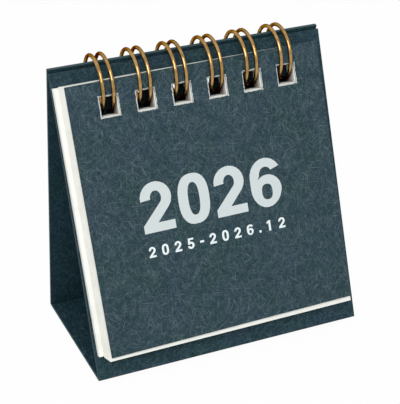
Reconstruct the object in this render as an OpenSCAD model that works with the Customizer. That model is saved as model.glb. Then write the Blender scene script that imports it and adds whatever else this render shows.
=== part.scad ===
// Mini desk calendar: a folded card stand, a twin-loop wire, a cover sheet and a pad of leaves.
// Millimetres. +X runs to the right, +Y to the back and +Z up, from the middle of the footprint.

/* [Stand card] */
// Width of the stand
stand_w = 64.8; // [52:0.1:90]
// Thickness of the card
card_t = 0.75; // [0.5:0.05:1]
// Distance from the front crease to the rear crease
base_depth = 38.4; // [32:0.1:46]
// Length of the front panel, from its crease to its top edge
front_len = 69.3; // [60:0.1:85]
// How far the back panel stands up past the front panel's top edge
back_extra = 0.85; // [0:0.05:0.9]
// Gap between the front panel's top edge and the back panel
ridge_gap = 0.2; // [0.15:0.05:0.5]
// Clearance between a crease bead and the panel that turns round it
crease_gap = 0.12; // [0.08:0.01:0.16]
// Turn of the front crease when the stand is folded as far as the wire lets it
fold_turn = 32; // [10:1:32]

/* [Binding wire] */
// Diameter of the wire
wire_d = 0.88; // [0.7:0.02:1]
// Radius of a closed loop, to the middle of the wire
loop_r = 6.4; // [6.2:0.05:7.2]
// Number of double loops
loop_count = 6; // [3:1:6]
// Distance from one double loop to the next
loop_pitch = 8.467; // [8:0.001:9]
// Distance between the two wires of a double loop
pair_w = 2.35; // [2:0.05:2.8]
// Height of the front panel's top edge above the loops' axis, along the panel
axis_drop = 3.85; // [3.4:0.05:4]
// Depth of the loops' axis behind the panel's front face
axis_depth = 1.4; // [1.3:0.05:1.8]
// Opening of a loop at the seam, in degrees
seam_turn = 36; // [32:1:42]
// Bend radius of the wire where it leaves a loop for the spine
elbow_r = 0.8; // [0.6:0.05:1]
// Straight length of the cut wire at each end of the spine
stub_len = 1.2; // [0.6:0.1:2]

/* [Punched holes] */
// Play between the wire pair and each side of a cover or panel hole
side_play = 0.57; // [0.5:0.01:0.8]
// Play above the wire in the cover's holes
top_play = 0.1; // [0.08:0.01:0.4]
// Play below the wire in the panels' holes
low_play = 0.3; // [0.2:0.01:0.5]
// How far the leaf holes stand inside the cover's holes, on every side
hole_rim = 0.22; // [0.1:0.01:0.25]

/* [Leaves] */
// Number of leaves in the pad
leaf_count = 14; // [8:1:14]
// Number of those leaves, at the rear, that are trimmed shorter
rear_count = 6; // [0:1:6]
// Thickness of a leaf
leaf_t = 0.19; // [0.12:0.01:0.2]
// Air between two leaves
leaf_gap = 0.06; // [0.05:0.01:0.07]
// Air between the front panel and the rearmost leaf
stack_gap = 0.12; // [0.1:0.01:0.2]
// How much wider a leaf is than the cover
leaf_over = 0.2; // [0:0.05:0.6]
// Height of the foremost leaf's lower edge above the front crease
leaf_lift = 4.75; // [3:0.05:12]
// Paper above the holes of a leaf
leaf_margin = 3.85; // [3:0.05:4]
// How far the lower edge of each front leaf lies above that of the one before it
leaf_step = 0.1; // [0:0.01:0.12]
// How far each front leaf lies to the left of the one before it
leaf_drift = 0.1; // [0:0.01:0.12]
// Sideways place of the foremost leaf
front_shift = -0.1; // [-0.5:0.05:0.5]
// Sideways place of the rear leaves
rear_shift = -1.9; // [-2:0.05:1]
// How much the rear leaves are trimmed at the top and at the bottom
rear_trim = 0.25; // [0:0.05:0.6]
// Skew of the leaves' trimmed outline, in degrees
leaf_skew = 0.4; // [0:0.05:0.5]

/* [Cover] */
// Thickness of the cover
cover_t = 0.28; // [0.2:0.01:0.3]
// Air between the cover and the foremost leaf
cover_gap = 0.2; // [0.18:0.01:0.25]
// Width of the cover
cover_w = 60.1; // [52:0.1:62]
// Height of the cover's lower edge above the foremost leaf's lower edge
cover_lift = 1.05; // [0.3:0.05:2]
// Paper above the holes of the cover
cover_margin = 3.65; // [3:0.05:4]
// Skew of the cover's trimmed outline, in degrees
cover_skew = 0.8; // [0:0.05:0.8]

/* [Hidden] */
$fn = 64;
EPS = 0.01;
FINGER_STEP = 6;
SEAM_STEP = 18;
BALL_SWELL = 1.04;
BALL_CUT = 0.06;

// Names of the leaves, from the front to the rear
function leaf_name(i) = str("leaf_", i < 10 ? "0" : "", i);

// The two panels lean together until the front panel's top edge all but meets the back panel
back_len = front_len + back_extra;
lean = asin((base_depth - ridge_gap - card_t) / (2 * front_len));
crease_z = card_t / 2;
// The base is scored so that both sides of the fold have the same length
front_half = (base_depth - back_extra) / 2;
// Width that a neighbouring piece leaves free for the bead of a crease
bead_space = card_t + 2 * crease_gap;

// Width of a leaf
leaf_w = cover_w + leaf_over;

// Leaves and cover, as distances in front of the panel's front face
leaf_pitch = leaf_t + leaf_gap;
function leaf_n(i) = stack_gap + (leaf_count - i) * leaf_pitch;
cover_n = leaf_n(1) + leaf_t + cover_gap;

// Where a loop crosses a sheet whose middle lies n in front of the panel's front face
axis_s = front_len - axis_drop;
function cross_drop(n) = sqrt(loop_r * loop_r - (n + axis_depth) * (n + axis_depth));
// Half the length that the slanted wire takes up in a sheet of thickness t
function cross_half(n, t) = (wire_d * loop_r + t * abs(n + axis_depth)) / 2 / cross_drop(n);

// Punched holes, measured along the front panel from its crease
hole_w = pair_w + wire_d + 2 * side_play;
cover_mid = cover_n + cover_t / 2;
hole_high = axis_s - cross_drop(cover_mid) + cross_half(cover_mid, cover_t) + top_play;
hole_low = axis_s - cross_drop(-card_t / 2) - cross_half(-card_t / 2, card_t) - low_play;
leaf_high = hole_high - hole_rim;
leaf_low = hole_low + hole_rim;

// Outlines of the sheets along the front panel
leaf_top = leaf_high + leaf_margin;
cover_low = leaf_lift + cover_lift;
cover_top = hole_high + cover_margin;
cover_h = cover_top - cover_low;

// The footprint's middle lies halfway between the cover's lowest corner and the rear crease
corner_s = (cover_low + cover_top) / 2 - cover_h / 2 * cos(cover_skew) - cover_w / 2 * sin(cover_skew);
front_reach = corner_s * sin(lean) - (card_t / 2 + cover_n + cover_t) * cos(lean);
front_y = -(base_depth + card_t / 2 + front_reach) / 2;
mid_y = front_y + front_half;
rear_y = front_y + base_depth;

// The loops' axis in the side view
axis_y = front_y + axis_s * sin(lean) + (axis_depth - card_t / 2) * cos(lean);
axis_z = crease_z + axis_s * cos(lean) - (axis_depth - card_t / 2) * sin(lean);

// The same axis seen along the back panel: height above the rear crease and depth inside the panel
back_axis_s = (rear_y - axis_y) * sin(lean) + (axis_z - crease_z) * cos(lean);
back_axis_n = (rear_y - axis_y) * cos(lean) - (axis_z - crease_z) * sin(lean);
back_cross = sqrt(loop_r * loop_r - back_axis_n * back_axis_n);
back_half = (wire_d * loop_r + card_t * abs(back_axis_n)) / 2 / back_cross;
back_low = back_axis_s - back_cross - back_half - low_play;
back_high = back_low + hole_high - hole_low;

// Angles round the loops' axis count from straight down towards the back; the seam lies between the panels
front_cross_turn = -lean - asin((axis_depth - card_t / 2) / loop_r);
back_cross_turn = lean + asin(back_axis_n / loop_r);
seam_mid = (front_cross_turn + back_cross_turn) / 2;
tip_turn = seam_mid + seam_turn / 2;
spine_turn = seam_mid + 360 - seam_turn / 2;
bar_len = loop_pitch - pair_w - 2 * elbow_r;
// Stretches of wire end a little short of each other inside a ball that is a little thicker than the wire
ball_d = wire_d * BALL_SWELL;
function cut_turn(r) = wire_d * BALL_CUT / r * 180 / PI;

function loop_x(i) = (i - (loop_count - 1) / 2) * loop_pitch;

// Points along the middle of the wire, used to measure how close it comes to itself
function ring_point(x, turn, along) = [
    x,
    loop_r * sin(turn) + along * cos(turn),
    -loop_r * cos(turn) + along * sin(turn)
];
function elbow_points(x, side) = [
    for (a = [0:SEAM_STEP:90])
        ring_point(x + side * (pair_w / 2 + elbow_r * (1 - cos(a))), spine_turn, elbow_r * sin(a))
];
function arc_points(x) = [for (a = [spine_turn:-FINGER_STEP:tip_turn]) ring_point(x, a, 0)];
function tip_points(x) = [
    for (a = [0:SEAM_STEP:180])
        ring_point(x - pair_w / 2 * cos(a), tip_turn, -pair_w / 2 * sin(a))
];
function reversed(list) = [for (i = [len(list) - 1:-1:0]) list[i]];
function finger_points(x) = concat(
    reversed(elbow_points(x, -1)),
    arc_points(x - pair_w / 2),
    tip_points(x),
    reversed(arc_points(x + pair_w / 2)),
    elbow_points(x, 1)
);
wire_points = concat(finger_points(loop_x(0)), finger_points(loop_x(1)));
wire_runs = [
    for (i = 0, run = 0; i < len(wire_points);
         run = run + (i + 1 < len(wire_points) ? norm(wire_points[i + 1] - wire_points[i]) : 0), i = i + 1)
        run
];
near_run = PI * pair_w / 2;
wire_gap = min([
    for (i = [0:len(wire_points) - 1])
        for (j = [i + 1:1:len(wire_points) - 1])
            if (wire_runs[j] - wire_runs[i] > near_run)
                norm(wire_points[j] - wire_points[i])
]) - wire_d;
echo(least_gap_of_wire_to_itself = wire_gap);

// Local frames: x across, z up along the panel, y = 0 in the middle of the card
module on_front_panel() {
    translate([0, front_y, crease_z])
        rotate([-lean, 0, 0])
            children();
}

module on_back_panel() {
    translate([0, rear_y, crease_z])
        rotate([lean, 0, 0])
            children();
}

// Round bar along the crease at y
module crease_bar(y, d, overhang = 0) {
    translate([0, y, crease_z])
        rotate([0, 90, 0])
            cylinder(d = d, h = stand_w + 2 * overhang, center = true);
}

// Row of square punched holes through whatever lies around y = 0
module hole_row(low, high, width, depth) {
    for (i = [0:loop_count - 1])
        translate([loop_x(i) - width / 2, -depth, low])
            cube([width, 2 * depth, high - low]);
}

// Card panel with a rounded crease at its lower edge and a row of holes
module punched_panel(length, low, high) {
    difference() {
        union() {
            translate([-stand_w / 2, -card_t / 2, 0])
                cube([stand_w, card_t, length]);
            rotate([0, 90, 0])
                cylinder(d = card_t, h = stand_w, center = true);
        }
        hole_row(low, high, hole_w, card_t);
    }
}

// Space that a folded panel takes up at a crease; side is 1 at the front crease and -1 at the rear crease
module folded_panel_space(y, side) {
    crease_bar(y, bead_space, EPS);
    translate([0, y, crease_z])
        rotate([-side * (lean + fold_turn), 0, 0])
            translate([-stand_w, -bead_space / 2, 0])
                cube([2 * stand_w, bead_space, front_half / 2]);
}

// Paper sheet with a slightly skewed outline, its rear face n in front of the panel's front face
module sheet(n, t, width, low, high, shift, skew) {
    translate([shift, -card_t / 2 - n - t, (low + high) / 2])
        rotate([0, -skew, 0])
            translate([-width / 2, 0, (low - high) / 2])
                cube([width, t, high - low]);
}

module front_panel() {
    color("#2b3c41")
        on_front_panel()
            punched_panel(front_len, hole_low, hole_high);
}

module back_panel() {
    color("#2b3c41")
        on_back_panel()
            punched_panel(back_len, back_low, back_high);
}

module base_front() {
    color("#26363b")
        difference() {
            union() {
                translate([-stand_w / 2, front_y, 0])
                    cube([stand_w, front_half, card_t]);
                crease_bar(mid_y, card_t);
            }
            folded_panel_space(front_y, 1);
        }
}

module base_rear() {
    color("#26363b")
        difference() {
            translate([-stand_w / 2, mid_y, 0])
                cube([stand_w, base_depth - front_half, card_t]);
            crease_bar(mid_y, bead_space, EPS);
            folded_panel_space(rear_y, -1);
        }
}

// Part of a ring of wire round the local z axis, short of its full turn by the cut at the ends named
module wire_arc(r, turn, cut_start = 0, cut_end = 0) {
    rotate([0, 0, cut_start * cut_turn(r)])
        rotate_extrude(angle = turn - (cut_start + cut_end) * cut_turn(r))
            translate([r, 0])
                circle(d = wire_d);
}

// Local frame on a loop: x points away from the loops' axis, y round the loop and z along the axis
module at_turn(turn, x) {
    rotate([0, 0, turn])
        translate([loop_r, 0, x])
            children();
}

// Two wires side by side, joined by a hairpin at their tips, with an elbow to the spine at each root
module double_loop(x) {
    for (side = [-1, 1]) {
        translate([0, 0, x + side * pair_w / 2])
            rotate([0, 0, tip_turn])
                wire_arc(loop_r, spine_turn - tip_turn, 1, 1);
        at_turn(tip_turn, x + side * pair_w / 2)
            sphere(d = ball_d);
        at_turn(spine_turn, x + side * pair_w / 2)
            sphere(d = ball_d);
        at_turn(spine_turn, x + side * (pair_w / 2 + elbow_r))
            translate([0, elbow_r, 0])
                sphere(d = ball_d);
    }
    at_turn(tip_turn, x)
        rotate([0, 90, 0])
            rotate([0, 0, 180])
                wire_arc(pair_w / 2, 180);
    for (half_turn = [0, 180])
        at_turn(spine_turn, x)
            rotate([0, half_turn, 0])
                translate([0, 0, pair_w / 2 + elbow_r])
                    rotate([0, 90, 0])
                        wire_arc(elbow_r, 90, 0, 1);
}

// Straight wire of the spine from x along the loops' axis
module spine_bar(x, length) {
    at_turn(spine_turn, x)
        translate([0, elbow_r, 0])
            cylinder(d = wire_d, h = length);
}

module binding_wire() {
    elbow_end = pair_w / 2 + elbow_r;
    color("#c89a50")
        translate([0, axis_y, axis_z])
            rotate([0, 90, 0]) {
                for (i = [0:loop_count - 1])
                    double_loop(loop_x(i));
                for (i = [0:1:loop_count - 2])
                    spine_bar(loop_x(i) + elbow_end, bar_len);
                spine_bar(loop_x(0) - elbow_end - stub_len, stub_len);
                spine_bar(loop_x(loop_count - 1) + elbow_end, stub_len);
            }
}

module front_cover() {
    color("#3a4e58")
        on_front_panel()
            difference() {
                sheet(cover_n, cover_t, cover_w, cover_low, cover_top, 0, cover_skew);
                hole_row(hole_low, hole_high, hole_w, 2 * (card_t + cover_n + cover_t));
            }
}

// Leaf i of the pad, counted from the front
module leaf(i) {
    front_count = leaf_count - rear_count;
    rear = i > front_count;
    trim = rear ? rear_trim : 0;
    steps = min(i - 1, front_count);
    color("#fcfcf6")
        on_front_panel()
            difference() {
                sheet(leaf_n(i), leaf_t, leaf_w, leaf_lift + steps * leaf_step + trim, leaf_top - trim,
                      rear ? rear_shift : front_shift - steps * leaf_drift, leaf_skew);
                hole_row(leaf_low, leaf_high, hole_w - 2 * hole_rim, 2 * (card_t + cover_n));
            }
}

front_panel();
base_front();
base_rear();
back_panel();
binding_wire();
front_cover();
for (i = [1:leaf_count])
    leaf(i);
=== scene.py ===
"""Looks of a mini desk calendar: fibre card stand, brass twin-loop wire, printed cover and month leaves."""

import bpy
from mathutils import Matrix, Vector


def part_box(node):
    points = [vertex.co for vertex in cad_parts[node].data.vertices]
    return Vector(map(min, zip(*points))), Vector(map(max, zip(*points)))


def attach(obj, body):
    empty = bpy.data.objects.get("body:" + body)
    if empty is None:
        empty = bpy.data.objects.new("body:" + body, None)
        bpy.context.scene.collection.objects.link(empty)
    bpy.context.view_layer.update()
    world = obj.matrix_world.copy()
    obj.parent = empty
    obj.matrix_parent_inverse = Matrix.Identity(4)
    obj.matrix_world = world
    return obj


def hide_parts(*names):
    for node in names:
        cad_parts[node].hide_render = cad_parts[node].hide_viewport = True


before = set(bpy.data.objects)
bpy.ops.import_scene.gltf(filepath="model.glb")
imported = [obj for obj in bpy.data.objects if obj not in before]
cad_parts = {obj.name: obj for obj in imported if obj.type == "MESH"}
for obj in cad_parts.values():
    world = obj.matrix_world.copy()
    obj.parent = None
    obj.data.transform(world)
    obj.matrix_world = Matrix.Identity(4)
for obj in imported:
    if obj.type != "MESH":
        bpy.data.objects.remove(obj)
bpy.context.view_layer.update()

import calendar
import math

import bpy
import numpy as np
from mathutils import Matrix, Vector

MM = 0.001
WHITE = (1, 1, 1, 1)

# Camera, as fitted to the photo: angles in degrees, lengths in millimetres
IMAGE_LONG_SIDE = 404
SENSOR = 36
FOCAL_PIXELS = 1277.0
CAMERA_TURN = -21.18
CAMERA_RISE = 25.105
CAMERA_ROLL = -2.66
CAMERA_DISTANCE = 302.38
CAMERA_TARGET = (1.46, 1.211, 29.165)
NEAR_CLIP = 10

# Stage: lengths in metres, apart from the floor's depth in millimetres.
# The floor lies just below the lowest place of the folded stand's foot.
FLOOR_HALF = 3.0
FLOOR_DROP = 2.4
FLOOR_GREY = (0.9, 0.9, 0.9, 1)
FLOOR_WHITE_SHARE = 0.97
SKY_STRENGTH = 0.55
LAMP_POWER = 3.0
LAMP_SIZE = 0.4
LAMP_PLACE = (-0.25, -0.5, 0.5)
LAMP_AIM = (0, 0, 0.035)

# Twin-loop wire, in millimetres and degrees round the loops' axis, counted from straight down to the back
WIRE_D = 0.88
LOOP_COUNT = 6
LOOP_PITCH = 8.467
PAIR_W = 2.35
ELBOW_R = 0.8
STUB_LEN = 1.2
SEAM_MID = 4.7
SEAM_TURN = 36
ARC_STEP = 4
BEND_STEP = 15
WIRE_SIDES = 6

# Print on the cover, in millimetres on the sheet and degrees
COVER_YEAR = "2026"
COVER_SPAN = "2025-2026.12"
YEAR_X = -17.75
YEAR_BASE = 25.55
YEAR_H = 11.3
YEAR_PITCH = 8.82
SPAN_X = -17.5385
SPAN_BASE = 20.05
SPAN_H = 2.45
SPAN_PITCH = 3.07
PRINT_TURN = -0.4

# Print on the leaves, in millimetres on the sheet
FIRST_MONTH = (2025, 12)
MONTH_H = 7.2
MONTH_BASE = 44.2
MONTH_YEAR_H = 2.6
MONTH_SIDE = 25.5
RULE_BASE = 41.2
RULE_H = 0.22
DAY_H = 2.7
DAY_TOP = 34.6
DAY_ROW = 5.75
DAY_COLUMN = 7.9
MIDDLE_COLUMN = 3
MONTHS_ABREAST = 4
MONTH_RULE_W = 10.71

# Ink layer, in millimetres
INK_T = 0.012
INK_LIFT = 0.004

# Pitch of figures that are set close, in heights
CLOSE_PITCH = 0.76

# Share of a figure's cell that a mark takes up
NARROW = {"-": 0.75, ".": 0.6}

# How far along -Y the normal of a front face points
FRONT_FACING = 0.9

# Band along a sheet's edge that holds the edge's corners but no hole, in millimetres
EDGE_BAND = 2

# Slate fibre paper: the two tones of its ground, its fibres, its cut edges and the bare paper round its holes
GREEN_SLATE = (0.0205, 0.052, 0.058)
BLUE_SLATE = (0.0275, 0.053, 0.076)
PALE_FIBRE = (0.125, 0.175, 0.190)
DARK_FIBRE = (0.010, 0.023, 0.030)
CUT_EDGE = (0.05, 0.085, 0.095)
BARE_PAPER = (0.72, 0.74, 0.70)

# Share of those tones' red, green and blue in the cover, in the stand's front panel and in its other panels,
# whose darker share is painted shade of the stand's inside
COVER_LEVEL = (1, 1, 1)
FRONT_LEVEL = (0.62, 0.78, 0.82)
PAINTED_SHADE_INSIDE_LEVEL = (0.34, 0.58, 0.64)

# Fibres: directions in degrees, first seed and step of the seed, size in millimetres,
# and where in the noise a fibre begins and is full
PALE_ANGLES = (4, 27, 61, 98, 133, 158)
PALE_SHAPE = {"seed": 2, "seed_step": 1.7, "length": 2.9, "width": 0.19, "low": 0.585, "high": 0.75}
PALE_SHARE = 0.7
DARK_ANGLES = (16, 49, 84, 120, 149)
DARK_SHAPE = {"seed": 40, "seed_step": 2.3, "length": 2.2, "width": 0.26, "low": 0.58, "high": 0.78}
DARK_SHARE = 0.62

# Bare paper round the cover's holes: width and raggedness in millimetres,
# the share of the width after which it fades, and the share of bare paper in it
RIM_W = 0.17
RIM_RAGGED = 0.07
RIM_FADE = 0.6
RIM_SHARE = 0.8

# White paper, dull and bright, and painted shade where it is shut in
DULL_PAPER = (0.84, 0.845, 0.79)
BRIGHT_PAPER = (0.89, 0.895, 0.845)
PAINTED_SHADE_PAPER = (0.24, 0.19, 0.15)

# Brass coat, dull and bright, painted shade where it is shut in, and its tint at a grazing angle
DULL_BRASS = (0.33, 0.19, 0.062)
BRIGHT_BRASS = (0.47, 0.30, 0.12)
PAINTED_SHADE_BRASS = (0.05, 0.02, 0.006)
GRAZING_BRASS = (0.25, 0.14, 0.07, 1)

# How far the painted shade looks round a surface for what shuts it in, in millimetres, and with how many rays
PAINTED_SHADE_REACH = 4.0
PAINTED_SHADE_RAYS = 8

# Inks, full and where the layer is thin
YEAR_INK = ((0.60, 0.66, 0.66), (0.42, 0.48, 0.5))
SPAN_INK = ((0.76, 0.84, 0.86), (0.6, 0.68, 0.7))
DATE_INK = ((0.03, 0.05, 0.06), (0.08, 0.1, 0.11))

LEAVES = sorted(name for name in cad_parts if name.startswith("leaf_"))
STAND = ["front_panel", "base_front", "base_rear", "back_panel"]


# Shader helpers

def put(tree, kind, inputs=None, **settings):
    """Adds a node, sets its settings, and sets or links its inputs."""
    node = tree.nodes.new(kind)
    for name, value in settings.items():
        setattr(node, name, value)
    for name, value in (inputs or {}).items():
        if isinstance(value, bpy.types.NodeSocket):
            tree.links.new(value, node.inputs[name])
        else:
            node.inputs[name].default_value = value
    return node


def math_node(tree, operation, a, b=0.0):
    return put(tree, "ShaderNodeMath", {0: a, 1: b}, operation=operation).outputs[0]


def times(tree, a, b):
    return math_node(tree, "MULTIPLY", a, b)


def minus(tree, a, b):
    return math_node(tree, "SUBTRACT", a, b)


def size_of(tree, value):
    return math_node(tree, "ABSOLUTE", value)


def most(tree, values):
    """The largest of some values."""
    total = values[0]
    for value in values[1:]:
        total = math_node(tree, "MAXIMUM", total, value)
    return total


def dot(tree, a, b):
    return put(tree, "ShaderNodeVectorMath", {0: a, 1: b}, operation="DOT_PRODUCT").outputs["Value"]


def ramp(tree, value, low, high, to_low=0.0, to_high=1.0):
    """Maps low..high smoothly to to_low..to_high."""
    inputs = {"Value": value, "From Min": low, "From Max": high, "To Min": to_low, "To Max": to_high}
    return put(tree, "ShaderNodeMapRange", inputs, interpolation_type="SMOOTHSTEP").outputs["Result"]


def mix(tree, factor, a, b):
    """Colour a where factor is 0, and b where it is 1."""
    node = put(tree, "ShaderNodeMix", {"Factor": factor}, data_type="RGBA")
    for socket, value in ((node.inputs[6], a), (node.inputs[7], b)):
        if isinstance(value, bpy.types.NodeSocket):
            tree.links.new(value, socket)
        else:
            socket.default_value = (*value, 1)
    return node.outputs[2]


def noise(tree, vector, scale, detail=2.0, roughness=0.5):
    inputs = {"Vector": vector, "Scale": scale, "Detail": detail, "Roughness": roughness}
    return put(tree, "ShaderNodeTexNoise", inputs).outputs["Fac"]


def streaks(tree, vector, angle, seed, length, width, low, high):
    """Short straight fibres across a sheet that faces Y, turned by angle degrees in its plane."""
    inputs = {
        "Vector": vector,
        "Location": (seed, 3 * seed, 7 * seed),
        "Rotation": (0, math.radians(angle), 0),
        "Scale": (width, length, length),
    }
    mapping = put(tree, "ShaderNodeMapping", inputs, vector_type="TEXTURE")
    return ramp(tree, noise(tree, mapping.outputs[0], scale=1.0, detail=1.0), low, high)


def fibres(tree, vector, angles, seed, seed_step, **shape):
    """Fibres in several directions, each with a seed of its own."""
    layers = [streaks(tree, vector, angle, seed_step * k + seed, **shape) for k, angle in enumerate(angles)]
    return most(tree, layers)


def openness(tree, shut, free):
    """How open a place is to its surroundings, from 0 at shut to 1 at free: the mask of painted shade."""
    around = put(tree, "ShaderNodeAmbientOcclusion", {"Distance": PAINTED_SHADE_REACH * MM}, samples=PAINTED_SHADE_RAYS)
    return ramp(tree, around.outputs["AO"], shut, free)


def new_material(name):
    """A material with its Principled shader, coordinates in millimetres and the object's own normal."""
    material = bpy.data.materials.new(name)
    material.use_nodes = True
    tree = material.node_tree
    tree.nodes.clear()
    shader = put(tree, "ShaderNodeBsdfPrincipled")
    put(tree, "ShaderNodeOutputMaterial", {"Surface": shader.outputs["BSDF"]})
    place = put(tree, "ShaderNodeTexCoord")
    inputs = {0: place.outputs["Object"], 1: (1 / MM,) * 3}
    scaled = put(tree, "ShaderNodeVectorMath", inputs, operation="MULTIPLY")
    return material, tree, shader, scaled.outputs[0], place.outputs["Normal"]


def surface(tree, shader, colour, roughness):
    tree.links.new(colour, shader.inputs["Base Color"])
    tree.links.new(roughness, shader.inputs["Roughness"])


def relief(tree, shader, height, strength, depth):
    """Gives a surface a fine relief that is depth millimetres deep."""
    bump = put(tree, "ShaderNodeBump", {"Strength": strength, "Distance": depth * MM, "Height": height})
    tree.links.new(bump.outputs["Normal"], shader.inputs["Normal"])


def dress(obj, material):
    obj.data.materials.clear()
    obj.data.materials.append(material)


# Materials

def hole_rim(tree, place, holes):
    """White paper laid bare in a ragged line round punched holes: 1 at a hole's edge, 0 away from it."""
    up, half_width, low, high = holes
    across = put(tree, "ShaderNodeSeparateXYZ", {0: place}).outputs["X"]
    cell = math_node(tree, "FRACT", math_node(tree, "DIVIDE", across, LOOP_PITCH))
    aside = times(tree, size_of(tree, minus(tree, cell, 0.5)), LOOP_PITCH)
    above = size_of(tree, minus(tree, dot(tree, place, up), (low + high) / 2))
    outside = most(tree, [minus(tree, aside, half_width), minus(tree, above, (high - low) / 2)])
    ragged = ramp(tree, noise(tree, place, scale=1.6), 0.3, 0.7, -RIM_RAGGED, RIM_RAGGED)
    rim = ramp(tree, math_node(tree, "ADD", outside, ragged), RIM_FADE * RIM_W, RIM_W, 1.0, 0.0)
    in_row = math_node(tree, "LESS_THAN", size_of(tree, across), LOOP_COUNT / 2 * LOOP_PITCH)
    return times(tree, rim, in_row)


def slate(name, node, level, edge=None, holes=None):
    """Dyed paper or card with a mottled ground and short fibres.

    The level scales its tones' red, green and blue. Cut edges have the edge tone, and holes show a rim of bare
    paper, where these are given.
    """
    material, tree, shader, place, normal = new_material(name)
    green, blue, pale, dark = (
        tuple(share * part for share, part in zip(level, tone))
        for tone in (GREEN_SLATE, BLUE_SLATE, PALE_FIBRE, DARK_FIBRE)
    )
    patches = ramp(tree, noise(tree, place, scale=0.11, detail=3.0, roughness=0.6), 0.35, 0.65)
    pale_fibres = fibres(tree, place, PALE_ANGLES, **PALE_SHAPE)
    dark_fibres = fibres(tree, place, DARK_ANGLES, **DARK_SHAPE)
    grain = noise(tree, place, scale=3.2)
    colour = mix(tree, patches, green, blue)
    colour = mix(tree, times(tree, pale_fibres, PALE_SHARE), colour, pale)
    colour = mix(tree, times(tree, dark_fibres, DARK_SHARE), colour, dark)
    colour = mix(tree, ramp(tree, grain, 0.3, 0.75, 0.0, 0.3), colour, dark)
    if edge:
        widest = max(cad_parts[node].data.polygons, key=lambda p: p.area)
        facing = size_of(tree, dot(tree, normal, tuple(widest.normal)))
        colour = mix(tree, ramp(tree, facing, 0.3, 0.5, 1.0, 0.0), colour, edge)
    if holes:
        colour = mix(tree, times(tree, hole_rim(tree, place, holes), RIM_SHARE), colour, BARE_PAPER)
    surface(tree, shader, colour, ramp(tree, grain, 0.2, 0.8, 0.82, 0.96))
    shader.inputs["Specular IOR Level"].default_value = 0.16
    height = minus(tree, math_node(tree, "ADD", pale_fibres, grain), dark_fibres)
    relief(tree, shader, height, strength=0.35, depth=0.03)
    return material


def white_paper(name):
    """Uncoated white paper with faint clouds and a fine tooth, with painted shade where it is shut in."""
    material, tree, shader, place, _ = new_material(name)
    clouds = ramp(tree, noise(tree, place, scale=0.35, detail=3.0), 0.3, 0.7)
    tooth = noise(tree, place, scale=6.0)
    colour = mix(tree, clouds, DULL_PAPER, BRIGHT_PAPER)
    # Painted shade: the paper darkens to brown-grey where holes and the gaps between leaves shut it in.
    colour = mix(tree, openness(tree, shut=0.1, free=0.45), PAINTED_SHADE_PAPER, colour)
    surface(tree, shader, colour, ramp(tree, tooth, 0.2, 0.8, 0.8, 0.95))
    shader.inputs["Specular IOR Level"].default_value = 0.2
    relief(tree, shader, tooth, strength=0.2, depth=0.02)
    return material


def ink(name, tone, thin_tone):
    """Screen-printed ink that takes a little of the paper's tooth."""
    material, tree, shader, place, _ = new_material(name)
    tooth = noise(tree, place, scale=4.5, detail=3.0)
    colour = mix(tree, ramp(tree, tooth, 0.55, 0.8, 0.0, 0.5), tone, thin_tone)
    surface(tree, shader, colour, ramp(tree, tooth, 0.2, 0.8, 0.55, 0.8))
    shader.inputs["Specular IOR Level"].default_value = 0.3
    return material


def brass_wire(name):
    """Brass-coated wire with an uneven coat, and painted shade where it is shut in by paper."""
    material, tree, shader, place, _ = new_material(name)
    coat = ramp(tree, noise(tree, place, scale=0.9, detail=3.0), 0.3, 0.7)
    colour = mix(tree, coat, DULL_BRASS, BRIGHT_BRASS)
    # Painted shade: the wire darkens to near black where paper shuts it in.
    colour = mix(tree, openness(tree, shut=0.42, free=0.85), PAINTED_SHADE_BRASS, colour)
    surface(tree, shader, colour, ramp(tree, noise(tree, place, scale=7.0), 0.2, 0.8, 0.10, 0.20))
    shader.inputs["Metallic"].default_value = 1.0
    shader.inputs["Specular Tint"].default_value = GRAZING_BRASS
    return material


# Sheets

def front_face(node):
    """Corners of a sheet's front face, and the direction out of it."""
    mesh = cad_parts[node].data
    front = [p for p in mesh.polygons if p.normal.y < -FRONT_FACING]
    out = sum((p.normal * p.area for p in front), Vector()).normalized()
    return [mesh.vertices[i].co for p in front for i in p.vertices], out


def sheet_place(node):
    """Frame at the middle of a front face's lower edge: x along the edge, y up the sheet, z out of it."""
    corners, out = front_face(node)
    foot = min(c.z for c in corners)
    low = [c for c in corners if c.z < foot + EDGE_BAND * MM]
    left = min(low, key=lambda c: c.x)
    right = max(low, key=lambda c: c.x)
    along = (right - left).normalized()
    up = out.cross(along)
    place = Matrix((along, up, out)).transposed().to_4x4()
    place.translation = (left + right) / 2
    return place


def punched_row(node):
    """A sheet's row of holes: direction up the sheet, half a hole's width, and its lower and upper edge."""
    corners, out = front_face(node)
    up = out.cross(Vector((1, 0, 0))).normalized()
    places = [(c.x / MM, c.dot(up) / MM) for c in corners]
    top = max(s for _, s in places)
    foot = min(s for _, s in places)
    row_end = LOOP_COUNT / 2 * LOOP_PITCH
    edges = [(x, s) for x, s in places if abs(x) < row_end and foot + EDGE_BAND < s < top - EDGE_BAND]
    last_hole = (LOOP_COUNT - 1) / 2 * LOOP_PITCH
    half_width = max(abs(x) for x, _ in edges) - last_hole
    return tuple(up), half_width, min(s for _, s in edges), max(s for _, s in edges)


def mesh_of(curve):
    """Mesh of a curve's solid form."""
    holder = bpy.data.objects.new(curve.name + "_curve", curve)
    bpy.context.scene.collection.objects.link(holder)
    bpy.context.view_layer.update()
    mesh = bpy.data.meshes.new_from_object(holder.evaluated_get(bpy.context.evaluated_depsgraph_get()))
    bpy.data.objects.remove(holder)
    mesh.name = curve.name
    return mesh


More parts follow.
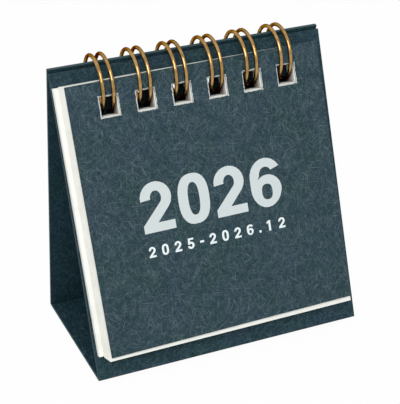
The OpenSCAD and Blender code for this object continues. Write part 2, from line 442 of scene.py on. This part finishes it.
def print_on(sheet, name, loops, material):
    """Thin layer of ink on a sheet, in the outlines given in millimetres."""
    curve = bpy.data.curves.new(name, "CURVE")
    curve.dimensions = "2D"
    curve.fill_mode = "BOTH"
    curve.extrude = INK_T / 2
    for loop in loops:
        spline = curve.splines.new("POLY")
        spline.points.add(len(loop) - 1)
        for point, (x, y) in zip(spline.points, loop):
            point.co = (x, y, 0, 1)
        spline.use_cyclic_u = True
    mesh = mesh_of(curve)
    lift = Matrix.Translation((0, 0, INK_LIFT + INK_T / 2))
    mesh.transform(sheet_place(sheet) @ Matrix.Scale(MM, 4) @ lift)
    piece = bpy.data.objects.new(name, mesh)
    bpy.context.scene.collection.objects.link(piece)
    dress(piece, material)
    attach(piece, sheet)


# Print

def arc(cx, cy, rx, ry, start, end, step=15):
    """Points of an ellipse from start to end, in degrees."""
    count = max(2, round(abs(end - start) / step))
    turns = [math.radians(start + (end - start) * i / count) for i in range(count + 1)]
    return [(cx + rx * math.cos(t), cy + ry * math.sin(t)) for t in turns]


def oval(cx, cy, rx, ry, square=2.5, step=12):
    """Closed rounded oval, squarer than an ellipse."""
    points = []
    for degrees in range(0, 360, step):
        c, s = math.cos(math.radians(degrees)), math.sin(math.radians(degrees))
        x = math.copysign(abs(c) ** (2 / square), c)
        y = math.copysign(abs(s) ** (2 / square), s)
        points.append((cx + rx * x, cy + ry * y))
    return points


def bold_figures():
    """Outlines of plain bold figures, one unit tall, as loops; an inner loop is a hole."""
    stem, bar = 0.21, 0.18
    two = arc(0.325, 0.675, 0.325, 0.325, 186, -38)
    two += [(0.31, bar), (0.66, bar), (0.66, 0), (0, 0), (0, 0.155)]
    two += arc(0.325, 0.675, 0.325 - stem, 0.325 - bar, -38, 186)
    three = arc(0.315, 0.735, 0.30, 0.265, 172, -52) + arc(0.325, 0.285, 0.325, 0.285, 57, -172)
    three += arc(0.325, 0.285, 0.115, 0.125, 188, 440) + [(0.22, 0.41), (0.22, 0.625)]
    three += arc(0.315, 0.735, 0.095, 0.11, -80, 172)
    four = [(0.38, 0), (0.58, 0), (0.58, 0.2), (0.68, 0.2), (0.68, 0.37), (0.58, 0.37), (0.58, 1)]
    four += [(0.36, 1), (0, 0.36), (0, 0.2), (0.38, 0.2)]
    five = [(0.08, 1), (0.6, 1), (0.6, 1 - bar), (0.265, 1 - bar)]
    five += arc(0.315, 0.325, 0.335, 0.335, 100, -168) + arc(0.315, 0.325, 0.125, 0.145, -168, 150)
    five += [(0.035, 0.43)]
    six = arc(0.35, 0.62, 0.35, 0.385, 28, 180) + arc(0.335, 0.4, 0.335, 0.405, 180, 360)
    six += arc(0.37, 0.34, 0.3, 0.32, 0, 132) + arc(0.35, 0.66, 0.14, 0.165, 180, 30)
    six_hole = oval(0.345, 0.315, 0.115, 0.16)
    eight = arc(0.335, 0.745, 0.295, 0.26, -50, 230) + arc(0.335, 0.29, 0.335, 0.295, 123, 417)
    nine = [[(0.67 - x, 1 - y) for x, y in loop] for loop in (six, six_hole)]
    return {
        "0": [oval(0.33, 0.5, 0.33, 0.51), oval(0.33, 0.5, 0.33 - stem, 0.51 - bar)],
        "1": [[(0.22, 0), (0.43, 0), (0.43, 1), (0.27, 1), (0.05, 0.85), (0.05, 0.66), (0.22, 0.76)]],
        "2": [two],
        "3": [three],
        "4": [four, [(0.17, 0.37), (0.38, 0.37), (0.38, 0.73)]],
        "5": [five],
        "6": [six, six_hole],
        "7": [[(0, 1), (0.66, 1), (0.66, 0.83), (0.33, 0), (0.1, 0), (0.42, 0.81), (0, 0.81)]],
        "8": [eight, oval(0.335, 0.75, 0.095, 0.1), oval(0.335, 0.285, 0.12, 0.12)],
        "9": nine,
        "-": [[(0.13, 0.35), (0.53, 0.35), (0.53, 0.55), (0.13, 0.55)]],
        ".": [oval(0.33, 0.12, 0.12, 0.12)],
    }


FIGURES = bold_figures()


def line_of_figures(text, x, base, height, pitch):
    """Loops of a line of figures, each in a cell pitch wide or less, starting at x."""
    loops = []
    for i, figure in enumerate(text):
        if i:
            x += pitch * (NARROW.get(text[i - 1], 1) + NARROW.get(figure, 1)) / 2
        loops += [[(x + px * height, base + py * height) for px, py in loop] for loop in FIGURES[figure]]
    return loops


def close_figures(number, x, base, height):
    """Loops of a number whose figures are set close together, starting at x."""
    return line_of_figures(str(number), x, base, height, CLOSE_PITCH * height)


def close_width(number, height):
    return len(str(number)) * height * CLOSE_PITCH


def block(x, y, w, h):
    return [(x, y), (x + w, y), (x + w, y + h), (x, y + h)]


def cover_line(text, x, base, height, pitch):
    """Loops of a line of figures on the cover, turned a little as its print is."""
    slope = math.tan(math.radians(PRINT_TURN))
    loops = line_of_figures(text, x, base, height, pitch)
    return [[(x - slope * (y - YEAR_BASE), y + slope * x) for x, y in loop] for loop in loops]


def leaf_head(number):
    """A leaf's large number and the rule under it."""
    rule = block(-MONTH_SIDE, RULE_BASE, 2 * MONTH_SIDE, RULE_H)
    return close_figures(number, -MONTH_SIDE, MONTH_BASE, MONTH_H) + [rule]


def month_print(year, month):
    """A month's number, its year and a grid of its days."""
    loops = leaf_head(month)
    loops += close_figures(year, MONTH_SIDE - close_width(year, MONTH_YEAR_H), MONTH_BASE, MONTH_YEAR_H)
    weeks = calendar.Calendar(firstweekday=calendar.SUNDAY).monthdayscalendar(year, month)
    for row, week in enumerate(weeks):
        for column, day in enumerate(week):
            if day:
                x = (column - MIDDLE_COLUMN) * DAY_COLUMN - close_width(day, DAY_H) / 2
                loops += close_figures(day, x, DAY_TOP - row * DAY_ROW, DAY_H)
    return loops


def year_print(year):
    """A year's number and its twelve month numbers with a rule under each."""
    loops = leaf_head(year)
    for month in range(12):
        x = -MONTH_SIDE + month % MONTHS_ABREAST * 2 * MONTH_SIDE / MONTHS_ABREAST
        y = DAY_TOP - month // MONTHS_ABREAST * 2 * DAY_ROW
        loops += close_figures(month + 1, x, y, DAY_H)
        loops.append(block(x, y - DAY_ROW, MONTH_RULE_W, RULE_H))
    return loops


# Binding wire

def wire_route():
    """Points along the twin-loop wire in millimetres, from its left end to its right end."""
    low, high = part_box("binding_wire")
    outer = (high.y - low.y) / 2 / MM
    loop_r = outer - WIRE_D / 2
    axis_y = (low.y + high.y) / 2 / MM
    axis_z = high.z / MM - outer
    tip = SEAM_MID + SEAM_TURN / 2
    root = SEAM_MID + 360 - SEAM_TURN / 2

    def at(x, degrees, along=0.0):
        turn = math.radians(degrees)
        y = axis_y + loop_r * math.sin(turn) + along * math.cos(turn)
        z = axis_z - loop_r * math.cos(turn) + along * math.sin(turn)
        return (x, y, z)

    def spread(start, end, step):
        return np.linspace(start, end, max(2, round(abs(end - start) / step)) + 1)

    def elbow(x, side):
        bends = [math.radians(a) for a in spread(0, 90, BEND_STEP)]
        return [at(x + side * ELBOW_R * (1 - math.cos(b)), root, ELBOW_R * math.sin(b)) for b in bends]

    reach = PAIR_W / 2 + ELBOW_R
    first = -(LOOP_COUNT - 1) / 2 * LOOP_PITCH
    points = [at(first - reach - STUB_LEN, root, ELBOW_R)]
    for i in range(LOOP_COUNT):
        x = first + i * LOOP_PITCH
        points += elbow(x - PAIR_W / 2, -1)[::-1]
        points += [at(x - PAIR_W / 2, a) for a in spread(root, tip, ARC_STEP)[1:]]
        bends = [math.radians(a) for a in spread(0, 180, BEND_STEP)[1:-1]]
        points += [at(x - PAIR_W / 2 * math.cos(b), tip, -PAIR_W / 2 * math.sin(b)) for b in bends]
        points += [at(x + PAIR_W / 2, a) for a in spread(tip, root, ARC_STEP)]
        points += elbow(x + PAIR_W / 2, 1)[1:]
    points.append(at(-first + reach + STUB_LEN, root, ELBOW_R))
    return points


def twin_loop_wire(material):
    """The binding wire as one smooth tube."""
    route = wire_route()
    curve = bpy.data.curves.new("twin_loop_wire", "CURVE")
    curve.dimensions = "3D"
    curve.bevel_depth = WIRE_D / 2 * MM
    curve.bevel_resolution = WIRE_SIDES
    curve.use_fill_caps = True
    spline = curve.splines.new("POLY")
    spline.points.add(len(route) - 1)
    for point, place in zip(spline.points, route):
        point.co = (*(c * MM for c in place), 1)
    spline.use_smooth = True
    mesh = mesh_of(curve)
    piece = bpy.data.objects.new("twin_loop_wire", mesh)
    bpy.context.scene.collection.objects.link(piece)
    for polygon in mesh.polygons:
        polygon.use_smooth = len(polygon.vertices) == 4
    dress(piece, material)
    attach(piece, "stand_front")
    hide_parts("binding_wire")


# Stage

def seen_directly(tree):
    """1 for what the camera sees, itself or by way of a glossy or clear surface, and 0 for light on matt ones."""
    path = put(tree, "ShaderNodeLightPath")
    rays = ("Is Camera Ray", "Is Glossy Ray", "Is Transmission Ray")
    return most(tree, [path.outputs[ray] for ray in rays])


def floor():
    """Matt floor that looks white and keeps a faint shadow."""
    half = FLOOR_HALF
    depth = FLOOR_DROP * MM
    corners = [(-half, -half, -depth), (half, -half, -depth), (half, half, -depth), (-half, half, -depth)]
    mesh = bpy.data.meshes.new("floor")
    mesh.from_pydata(corners, [], [(0, 1, 2, 3)])
    piece = bpy.data.objects.new("floor", mesh)
    bpy.context.scene.collection.objects.link(piece)
    material = bpy.data.materials.new("floor_white")
    material.use_nodes = True
    tree = material.node_tree
    tree.nodes.clear()
    matt = put(tree, "ShaderNodeBsdfDiffuse", {"Color": FLOOR_GREY})
    glow = put(tree, "ShaderNodeEmission", {"Color": WHITE, "Strength": 1.0})
    factor = times(tree, seen_directly(tree), FLOOR_WHITE_SHARE)
    shown = put(tree, "ShaderNodeMixShader", {0: factor, 1: matt.outputs[0], 2: glow.outputs[0]})
    put(tree, "ShaderNodeOutputMaterial", {"Surface": shown.outputs[0]})
    dress(piece, material)


def studio():
    """Even white surroundings and one large soft lamp from the front left."""
    world = bpy.data.worlds.new("studio")
    bpy.context.scene.world = world
    world.use_nodes = True
    tree = world.node_tree
    tree.nodes.clear()
    strength = ramp(tree, seen_directly(tree), 0.0, 1.0, SKY_STRENGTH, 1.0)
    sky = put(tree, "ShaderNodeBackground", {"Color": WHITE, "Strength": strength})
    put(tree, "ShaderNodeOutputWorld", {"Surface": sky.outputs[0]})
    lamp = bpy.data.lights.new("softbox", "AREA")
    lamp.energy = LAMP_POWER
    lamp.size = LAMP_SIZE
    holder = bpy.data.objects.new("softbox", lamp)
    holder.location = LAMP_PLACE
    aim = Vector(LAMP_AIM) - holder.location
    holder.rotation_euler = aim.to_track_quat("-Z", "Y").to_euler()
    bpy.context.scene.collection.objects.link(holder)


def camera():
    """Camera at the place, turn and lens that the photo was taken with."""
    turn, rise, roll = (math.radians(a) for a in (CAMERA_TURN, CAMERA_RISE, CAMERA_ROLL))
    back = Vector((math.sin(turn) * math.cos(rise), -math.cos(turn) * math.cos(rise), math.sin(rise)))
    level = Vector((0, 0, 1)).cross(back).normalized()
    upright = back.cross(level)
    right = math.cos(roll) * level + math.sin(roll) * upright
    up = back.cross(right)
    lens = bpy.data.cameras.new("camera")
    lens.sensor_width = SENSOR
    lens.lens = FOCAL_PIXELS * SENSOR / IMAGE_LONG_SIDE
    lens.clip_start = NEAR_CLIP * MM
    holder = bpy.data.objects.new("camera", lens)
    place = Matrix((right, up, back)).transposed().to_4x4()
    place.translation = (Vector(CAMERA_TARGET) + back * CAMERA_DISTANCE) * MM
    holder.matrix_world = place
    bpy.context.scene.collection.objects.link(holder)
    bpy.context.scene.camera = holder


# The object

camera()
studio()
floor()

for node in STAND:
    # The back panel and the base get darker tones of the same card as painted shade.
    level = FRONT_LEVEL if node == "front_panel" else PAINTED_SHADE_INSIDE_LEVEL
    dress(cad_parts[node], slate("slate_" + node, node, level, edge=CUT_EDGE))
cover_slate = slate("slate_cover", "front_cover", COVER_LEVEL, holes=punched_row("front_cover"))
dress(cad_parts["front_cover"], cover_slate)
leaf_white = white_paper("leaf_white")
for node in LEAVES:
    dress(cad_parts[node], leaf_white)

twin_loop_wire(brass_wire("brass"))

year_line = cover_line(COVER_YEAR, YEAR_X, YEAR_BASE, YEAR_H, YEAR_PITCH)
span_line = cover_line(COVER_SPAN, SPAN_X, SPAN_BASE, SPAN_H, SPAN_PITCH)
print_on("front_cover", "cover_year_print", year_line, ink("pale_ink", *YEAR_INK))
print_on("front_cover", "cover_span_print", span_line, ink("white_ink", *SPAN_INK))

date_ink = ink("slate_ink", *DATE_INK)
year, month = FIRST_MONTH
for node in LEAVES[:-1]:
    print_on(node, node + "_print", month_print(year, month), date_ink)
    year, month = (year, month + 1) if month < 12 else (year + 1, 1)
print_on(LEAVES[-1], LEAVES[-1] + "_print", year_print(year - 1), date_ink)

bpy.context.scene.view_settings.view_transform = "Standard"
